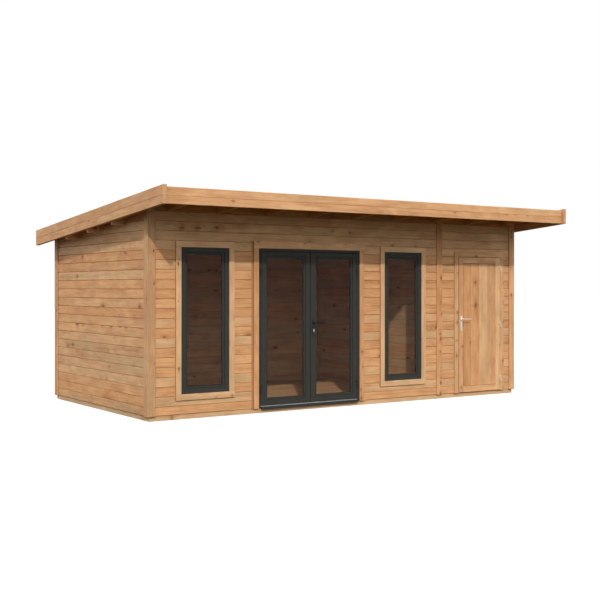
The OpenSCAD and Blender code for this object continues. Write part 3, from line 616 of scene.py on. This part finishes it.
rafter = {"wide": 0.045, "count": 9, "ease": 0.003}
rafterLow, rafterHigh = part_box("rafters")
backLow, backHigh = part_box("back_fascia")
tailUnder = roofZ(backHigh.y) - backLow.z
rafterXs = spread(rafterLow.x, rafterHigh.x, rafter["wide"], rafter["count"])
bm = newTimber("rafters")
for i, x0 in enumerate(rafterXs):
    x1 = x0 + rafter["wide"]
    for y0, y1, under in ((rafterLow.y, wallHigh.y, rafterUnder), (wallHigh.y, rafterHigh.y, tailUnder)):
        addBoard(bm, (x0, y0, -under), (x1, y1, -deckUnder), 1, rafter["ease"], onRoof=True,
                 seed=f"rafter {i}")
finishPiece(bm, "rafter_timbers", "house", shadedRoofWood, ["rafters"])

outlooker = {"deep": 0.070, "count": 4}
outLow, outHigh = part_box("outlookers")
bay = (wallHigh.y - wallLow.y - 2 * shell["wall"]) / outlooker["count"]
firstBay = wallLow.y + shell["wall"] + (bay - rafter["wide"]) / 2
bm = newTimber("outlookers")
for y0 in [outLow.y] + [firstBay + i * bay for i in range(outlooker["count"])]:
    for x0, x1 in ((outLow.x, rafterLow.x), (rafterHigh.x, outHigh.x)):
        addBoard(bm, (x0, y0, -deckUnder - outlooker["deep"]), (x1, y0 + rafter["wide"], -deckUnder), 0,
                 rafter["ease"], onRoof=True)
finishPiece(bm, "outlooker_timbers", "house", shadedRoofWood, ["outlookers"])

# deeper timber ends between the walls and the barge boards, just in sight below the boards
purlin = {"under": 0.248, "fronts": (-0.86, -0.09, 0.65)}
bm = newTimber("purlin_ends")
for y0 in purlin["fronts"]:
    for x0, x1 in ((outLow.x, wallLow.x), (wallHigh.x, outHigh.x)):
        addBoard(bm, (x0, y0, -purlin["under"]), (x1, y0 + rafter["wide"], -deckUnder), 0, rafter["ease"],
                 onRoof=True)
finishPiece(bm, "purlin_ends", "house", eavesWood)

eaves = {"ease": (0.0005, 0.005, 0.004)}
bm = newTimber("eaves_blocks")
starts = [wallLow.x] + [x + rafter["wide"] for x in rafterXs]
for y0 in (wallLow.y, wallHigh.y - shell["wall"]):
    for x0, x1 in zip(starts, rafterXs + [wallHigh.x]):
        addBoard(bm, (x0, y0, -rafterUnder), (x1, y0 + shell["wall"], -deckUnder), 0, eaves["ease"],
                 onRoof=True)
finishPiece(bm, "eaves_block_boards", "house", shadedRoofWood, ["eaves_blocks"])

deck = {"plank": 0.096, "ease": (0.0005, 0.004, 0.004)}
bm = newTimber("roof_boards")
count = round((deckHigh.y - deckLow.y) / deck["plank"])
pitch = (deckHigh.y - deckLow.y) / count
for i in range(count):
    y0 = deckLow.y + i * pitch
    addBoard(bm, (deckLow.x, y0, -deckUnder), (deckHigh.x, y0 + pitch, -deckTop), 0, deck["ease"],
             onRoof=True)
finishPiece(bm, "roof_planks", "house", shadedRoofWood, ["roof_boards"])

felt = {"rows": 4, "lap": 0.10, "thick": 0.002, "layers": 2, "ease": 0.0008}
feltLow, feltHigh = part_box("roof_felt")
feltUnder = roofZ(feltLow.y) - feltHigh.z + felt["layers"] * felt["thick"]
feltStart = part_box("front_fascia")[1].y  # the front fascia stands up to hide the felt's edge
sheet = (feltHigh.y - feltStart) / felt["rows"]
bm = newTimber("roof_felt")
for i in range(felt["rows"]):
    y0 = feltStart + i * sheet
    y1 = min(y0 + sheet + felt["lap"], feltHigh.y)
    bottom = -feltUnder + felt["thick"] * ((i + 1) % felt["layers"])
    addBoard(bm, (feltLow.x, y0, bottom), (feltHigh.x, y1, bottom + felt["thick"]), 0, felt["ease"],
             onRoof=True)
finishPiece(bm, "felt_sheets", "house", feltGrit, ["roof_felt"])

fascia = {"board": 0.094, "ease": (0.001, 0.005, 0.004), "shades": (0.718, 1.006)}
for node in ("front_fascia", "back_fascia"):
    low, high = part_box(node)
    bm = newTimber(node)
    tops = [feltHigh.z, high.z - fascia["board"]] if node == "front_fascia" else [high.z]
    for top, bottom, shade in zip(tops, tops[1:] + [low.z], fascia["shades"]):
        addBoard(bm, (low.x, low.y, bottom), (high.x, high.y, top), 0, fascia["ease"], shade=shade)
    finishPiece(bm, node + "_boards", "house", eavesWood, [node])

# each barge is two boards, with the joint at a share of the depth
barge = {"thick": 0.050, "ease": (0.004, 0.001, 0.0025), "joint": 0.54, "shade": 1.536}
bm = newTimber("barge_boards")
bargeDeep = roofZ(bargeHigh.y) - bargeLow.z
jointUnder = bargeDeep * barge["joint"]
for x0 in (bargeLow.x, bargeHigh.x - barge["thick"]):
    for over, under in ((0, jointUnder), (jointUnder, bargeDeep)):
        addBoard(bm, (x0, bargeLow.y, -under), (x0 + barge["thick"], bargeHigh.y, -over), 1, barge["ease"],
                 onRoof=True, shade=barge["shade"])
finishPiece(bm, "barge_timbers", "house", eavesWood, ["barge_boards"])
print("roof on")


joinery = {"bead": 0.026, "beadBack": 0.008, "ease": 0.003, "beadEase": 0.005}
pane = {"thick": 0.004, "ease": 0.0004, "lap": 0.012, "rebate": 0.005, "spacerLip": 0.004,
        "sealLip": 0.004, "sealThick": 0.0028, "clear": 0.0002, "sealEase": 0.0008}
# widths of frame that show left, right, above and below the glass
windowEdges = (0.100,) * 4
leafEdges = (0.095, 0.095, 0.080, 0.090)
glazing = {"left_window": ("house", windowEdges), "right_window": ("house", windowEdges),
           "left_leaf": ("left_door", leafEdges), "right_leaf": ("right_door", leafEdges)}


def frameRing(bm, low, high, y0, y1, edges, ease, shades=(None, None)):
    left, right, top, bottom = edges
    addBoard(bm, (low.x, y0, low.z), (low.x + left, y1, high.z), 2, ease, shade=shades[0])
    addBoard(bm, (high.x - right, y0, low.z), (high.x, y1, high.z), 2, ease, shade=shades[1])
    addBoard(bm, (low.x + left, y0, high.z - top), (high.x - right, y1, high.z), 0, ease)
    addBoard(bm, (low.x + left, y0, low.z), (high.x - right, y1, low.z + bottom), 0, ease)


for name, (body, edges) in glazing.items():
    frameNode, glassNode = name + "_frame", name + "_glass"
    low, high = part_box(frameNode)
    bead = joinery["bead"]
    left, right, top, bottom = (e - bead for e in edges)
    bm = newTimber(frameNode)
    frameRing(bm, low, high, low.y, high.y, (left, right, top, bottom), joinery["ease"])
    inLow, inHigh = low + Vector((left, 0, bottom)), high - Vector((right, 0, top))
    frameRing(bm, inLow, inHigh, low.y + joinery["beadBack"], high.y, (bead,) * 4, joinery["beadEase"])
    finishPiece(bm, frameNode + "_members", body, darkPaint, [frameNode])

    low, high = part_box(glassNode)
    bm = newTimber(glassNode)
    for y0 in (low.y, high.y - pane["thick"]):
        addBoard(bm, (low.x, y0, low.z), (high.x, y0 + pane["thick"], high.z), 2, pane["ease"])
    finishPiece(bm, glassNode + "_panes", body, clearPane, [glassNode])

    rebate, clear = pane["rebate"], pane["clear"]
    low, high = low + Vector((rebate, 0, rebate)), high - Vector((rebate, 0, rebate))
    lap = pane["lap"] - rebate
    bm = newTimber(glassNode + "_seals")
    for y0, y1, wide in (
            (low.y + pane["thick"] + clear, high.y - pane["thick"] - clear, lap + pane["spacerLip"]),
            (low.y - clear - pane["sealThick"], low.y - clear, lap + pane["sealLip"]),
            (high.y + clear, high.y + clear + pane["sealThick"], lap + pane["sealLip"])):
        frameRing(bm, low, high, y0, y1, (wide,) * 4, pane["sealEase"])
    finishPiece(bm, glassNode + "_seals", body, blackRubberAndSlotShade)

doorJamb = {"face": 0.050, "stop": 0.015, "stopDeep": 0.021}
low, high = frameLow, frameHigh
stopY = high.y - doorJamb["stopDeep"]
stopWide = doorJamb["face"] + doorJamb["stop"]
bm = newTimber("door_frame")
for y0, y1, wide in ((low.y, stopY, doorJamb["face"]), (stopY, high.y, stopWide)):
    addBoard(bm, (low.x, y0, low.z), (low.x + wide, y1, high.z), 2, joinery["ease"])
    addBoard(bm, (high.x - wide, y0, low.z), (high.x, y1, high.z), 2, joinery["ease"])
    addBoard(bm, (low.x + wide, y0, high.z - wide), (high.x - wide, y1, high.z), 0, joinery["ease"])
finishPiece(bm, "door_frame_members", "house", darkPaint, ["door_frame"])

lining = {"thick": 0.030, "ease": 0.002}
low, high, thick = liningLow, liningHigh, lining["thick"]
bm = newTimber("store_lining")
for x0 in (low.x, high.x - thick):
    addBoard(bm, (x0, low.y, low.z), (x0 + thick, high.y, high.z), 2, lining["ease"])
addBoard(bm, (low.x + thick, low.y, high.z - thick), (high.x - thick, high.y, high.z), 0, lining["ease"])
finishPiece(bm, "store_lining_boards", "house", wallWood, ["store_lining"])

storeDoor = {"stile": 0.090, "ease": 0.002, "boards": 4, "groove": (0.0018, 0.0018, 0.0005),
             "shades": (0.584, -0.44)}
low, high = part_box("store_leaf_frame")
bm = newTimber("store_leaf_frame")
frameRing(bm, low, high, low.y, high.y, (storeDoor["stile"],) * 4, storeDoor["ease"],
          storeDoor["shades"])
finishPiece(bm, "store_leaf_members", "store_door", trimWood, ["store_leaf_frame"])
low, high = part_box("store_leaf_boards")
bm = newTimber("store_leaf_boards")
wide = (high.x - low.x) / storeDoor["boards"]
for i in range(storeDoor["boards"]):
    x0 = low.x + i * wide
    addBoard(bm, (x0, low.y, low.z), (x0 + wide, high.y, high.z), 2, storeDoor["groove"])
finishPiece(bm, "store_leaf_planks", "store_door", panelWood, ["store_leaf_boards"])

# painted shade: dark lines beside the panel on both faces, and dark strips on the free edge and the top of
# the leaf, for the shade in the recess and the gaps
panelShadeLine = {"wide": 0.004, "out": 0.0003, "deep": 0.002, "ease": 0.0002, "edge": 0.001, "edgeBack": 0.014}
low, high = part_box("store_leaf_frame")
inset, wide = storeDoor["stile"], panelShadeLine["wide"]
left, right, bottom, top = low.x + inset, high.x - inset, low.z + inset, high.z - inset
bm = newTimber("store_leaf_quirks")
for face, way in ((low.y, 1), (high.y, -1)):
    y0, y1 = sorted((face - way * panelShadeLine["out"], face + way * panelShadeLine["deep"]))
    addBoard(bm, (left - wide, y0, bottom - wide), (left, y1, top + wide), 2, panelShadeLine["ease"])
    for z0 in (bottom - wide, top):
        addBoard(bm, (left, y0, z0), (right, y1, z0 + wide), 0, panelShadeLine["ease"])
edgeY = (low.y + storeDoor["ease"], low.y + panelShadeLine["edgeBack"])
addBoard(bm, (low.x - panelShadeLine["edge"], edgeY[0], low.z), (low.x, edgeY[1], high.z), 2, panelShadeLine["ease"])
addBoard(bm, (low.x, edgeY[0], high.z), (high.x, edgeY[1], high.z + panelShadeLine["edge"]), 0, panelShadeLine["ease"])
finishPiece(bm, "store_leaf_quirks", "store_door", paintedGapShade)
print("windows and doors hung")


sill = {"lipLow": 0.046, "stripLow": 0.077, "stripTop": 0.083, "stripOut": 0.003, "ease": 0.0025,
        "behind": 0.004}
rib = {"count": 4, "first": 0.006, "pitch": 0.009, "wide": 0.003, "sunk": 0.001, "rise": 0.0012,
       "ease": 0.0008}

low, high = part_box("door_threshold")
faceY = wallLow.y
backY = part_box("right_leaf_frame")[1].y + sill["behind"]
bm = newTimber("door_sill")
addBoard(bm, (low.x, low.y, sill["lipLow"]), (high.x, faceY, sill["stripLow"]), 0, sill["ease"])
addBoard(bm, (low.x, faceY, low.z), (high.x, backY, sill["stripLow"]), 0, sill["ease"])
finishPiece(bm, "door_sill", "house", darkPaint)
bm = newTimber("threshold_strip")
addBoard(bm, (low.x, faceY - sill["stripOut"], sill["stripLow"]), (high.x, backY, sill["stripTop"]), 0,
         sill["ease"])
for i in range(rib["count"]):
    y0 = faceY + rib["first"] + i * rib["pitch"]
    addBoard(bm, (low.x, y0, sill["stripTop"] - rib["sunk"]),
             (high.x, y0 + rib["wide"], sill["stripTop"] + rib["rise"]), 0, rib["ease"])
inset = doorJamb["stop"]
addBoard(bm, (low.x + inset, backY, low.z), (high.x - inset, high.y, high.z), 0, sill["ease"])
finishPiece(bm, "threshold_strip", "house", paleMetal, ["door_threshold"])

lock = {"spindleZ": 1.120, "drop": 0.092, "round": 0.0096, "arc": (-60, 240), "arcStep": 12,
        "tabWide": 0.0058, "tabLong": 0.026, "tabCut": 0.003, "out": 0.0054, "plate": 0.007,
        "seat": 0.0063, "slotWide": 0.0011, "slotLong": 0.0042, "slotDeep": 0.001, "slotOut": 0.0002}


def addPrism(bm, outline, x, z, y0, y1):
    ends = [[bm.verts.new((x + px, y, z + pz)) for px, pz in outline] for y in (y0, y1)]
    for ring in ends:
        bm.faces.new(ring)
    for i in range(len(outline)):
        bm.faces.new((ends[0][i - 1], ends[0][i], ends[1][i], ends[1][i - 1]))


# key cylinders: a round head with a tab below, and a key slot of painted shade, on both faces of a leaf
def keyCylinder(plates, frameNode, body):
    plateLow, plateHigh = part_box(plates)
    leafLow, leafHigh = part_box(frameNode)
    x, z = (plateLow.x + plateHigh.x) / 2, lock["spindleZ"] - lock["drop"]
    arcLow, arcHigh = lock["arc"]
    turn = [math.radians(a) for a in range(arcLow, arcHigh + 1, lock["arcStep"])]
    head = [(lock["round"] * math.cos(a), lock["round"] * math.sin(a)) for a in turn]
    wide, long, cut = lock["tabWide"], lock["tabLong"], lock["tabCut"]
    head += [(-wide, cut - long), (cut - wide, -long), (wide - cut, -long), (wide, cut - long)]
    slot = [(lock["slotWide"] * a, lock["slotLong"] * b) for a, b in ((-1, -1), (1, -1), (1, 1), (-1, 1))]
    bright, dark = newTimber(plates), newTimber(plates)
    for face, way in ((leafLow.y, -1), (leafHigh.y, 1)):
        front = face + way * (lock["plate"] + lock["out"])
        addPrism(bright, head, x, z, face + way * lock["seat"], front)
        addPrism(dark, slot, x, z, front - way * lock["slotDeep"], front + way * lock["slotOut"])
    finishPiece(bright, plates + "_cylinder", body, zincMetal)
    finishPiece(dark, plates + "_key_slot", body, blackRubberAndSlotShade)


keyCylinder("right_leaf_lock_plates", "right_leaf_frame", "right_door")
keyCylinder("store_leaf_lock_plates", "store_leaf_frame", "store_door")

for node, material in (("door_hinge_pins", darkMetal), ("left_leaf_hinges", darkMetal),
                       ("right_leaf_hinges", darkMetal), ("right_leaf_lock_plates", darkMetal),
                       ("right_leaf_lever", darkMetal), ("store_hinge_pins", dullZinc),
                       ("store_leaf_hinges", dullZinc), ("store_leaf_lock_plates", zincMetal),
                       ("store_leaf_lever", zincMetal)):
    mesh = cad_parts[node].data
    mesh.materials.clear()
    mesh.materials.append(material)
print("metal finished")


studio = {
    "sunWay": (0.431, 0.726, -0.567), "sunPower": 1.83, "sunColor": (1.0, 0.94, 0.86), "sunSize": 1.2,
    "skyLow": 0.84, "skyHigh": 1.32, "skyTurn": 0.36, "skyColor": (0.94, 0.985, 0.98, 1),
    "floorSize": 60, "floorDrop": 0.001,
    "floorDull": (0.077, 0.067, 0.043, 1), "floorPale": (0.2, 0.2, 0.2, 1), "floorGlow": 0.87,
    "white": (1, 1, 1, 1),
}

sun = bpy.data.lights.new("sun", "SUN")
sun.energy, sun.color = studio["sunPower"], studio["sunColor"]
sun.angle = math.radians(studio["sunSize"])
lamp = bpy.data.objects.new("sun", sun)
lamp.rotation_mode = "QUATERNION"
lamp.rotation_quaternion = Vector(studio["sunWay"]).to_track_quat("-Z", "Y")
bpy.context.scene.collection.objects.link(lamp)

world = bpy.data.worlds.new("studio")
bpy.context.scene.world = world
world.use_nodes = True
tree = world.node_tree
tree.nodes.clear()
path = tree.nodes.new("ShaderNodeLightPath").outputs
seen = maths(tree, "MAXIMUM", path["Is Camera Ray"], path["Is Transmission Ray"])
seen = maths(tree, "MAXIMUM", seen, path["Is Glossy Ray"])
sight = tree.nodes.new("ShaderNodeTexCoord").outputs["Generated"]
rise = place(tree, "ShaderNodeSeparateXYZ", {0: sight}).outputs[2]
power = ramp(tree, rise, 0.0, studio["skyTurn"], studio["skyLow"], studio["skyHigh"])
fill = place(tree, "ShaderNodeBackground", {"Color": studio["skyColor"], "Strength": power})
white = place(tree, "ShaderNodeBackground", {"Color": studio["white"], "Strength": 1.0})
mix = place(tree, "ShaderNodeMixShader", {0: seen, 1: fill.outputs[0], 2: white.outputs[0]})
place(tree, "ShaderNodeOutputWorld", {0: mix.outputs[0]})

# the floor is seen white, also in and through the panes, but throws little light back up
bm = bmesh.new()
bmesh.ops.create_grid(bm, x_segments=1, y_segments=1, size=studio["floorSize"])
mesh = bpy.data.meshes.new("studioFloor")
bm.to_mesh(mesh)
bm.free()
floor = bpy.data.objects.new("studioFloor", mesh)
floor.location.z = -studio["floorDrop"]
bpy.context.scene.collection.objects.link(floor)
material = bpy.data.materials.new("studioFloor")
material.use_nodes = True
tree = material.node_tree
tree.nodes.clear()
path = tree.nodes.new("ShaderNodeLightPath").outputs
seen = maths(tree, "MAXIMUM", path["Is Camera Ray"], path["Is Singular Ray"])
dull = place(tree, "ShaderNodeBsdfDiffuse", {"Color": studio["floorDull"]})
pale = place(tree, "ShaderNodeBsdfDiffuse", {"Color": studio["floorPale"]})
glow = place(tree, "ShaderNodeEmission", {"Color": studio["white"], "Strength": studio["floorGlow"]})
shown = place(tree, "ShaderNodeAddShader", {0: pale.outputs[0], 1: glow.outputs[0]})
mix = place(tree, "ShaderNodeMixShader", {0: seen, 1: dull.outputs[0], 2: shown.outputs[0]})
place(tree, "ShaderNodeOutputMaterial", {"Surface": mix.outputs[0]})
mesh.materials.append(material)
floor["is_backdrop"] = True

shot = {"lens": 60.89, "sensor": 36.0, "shift": -0.02097, "spot": (-8.1465, -12.3941, 1.58),
        "level": 90, "yaw": -33.837, "far": 200}
camera = bpy.data.cameras.new("camera")
camera.lens, camera.sensor_width, camera.shift_y = shot["lens"], shot["sensor"], shot["shift"]
camera.clip_end = shot["far"]
view = bpy.data.objects.new("camera", camera)
view.location = shot["spot"]
view.rotation_euler = (math.radians(shot["level"]), 0, math.radians(shot["yaw"]))
bpy.context.scene.collection.objects.link(view)
bpy.context.scene.camera = view
bpy.context.scene.view_settings.view_transform = "Standard"
print("studio lit")

low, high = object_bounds()
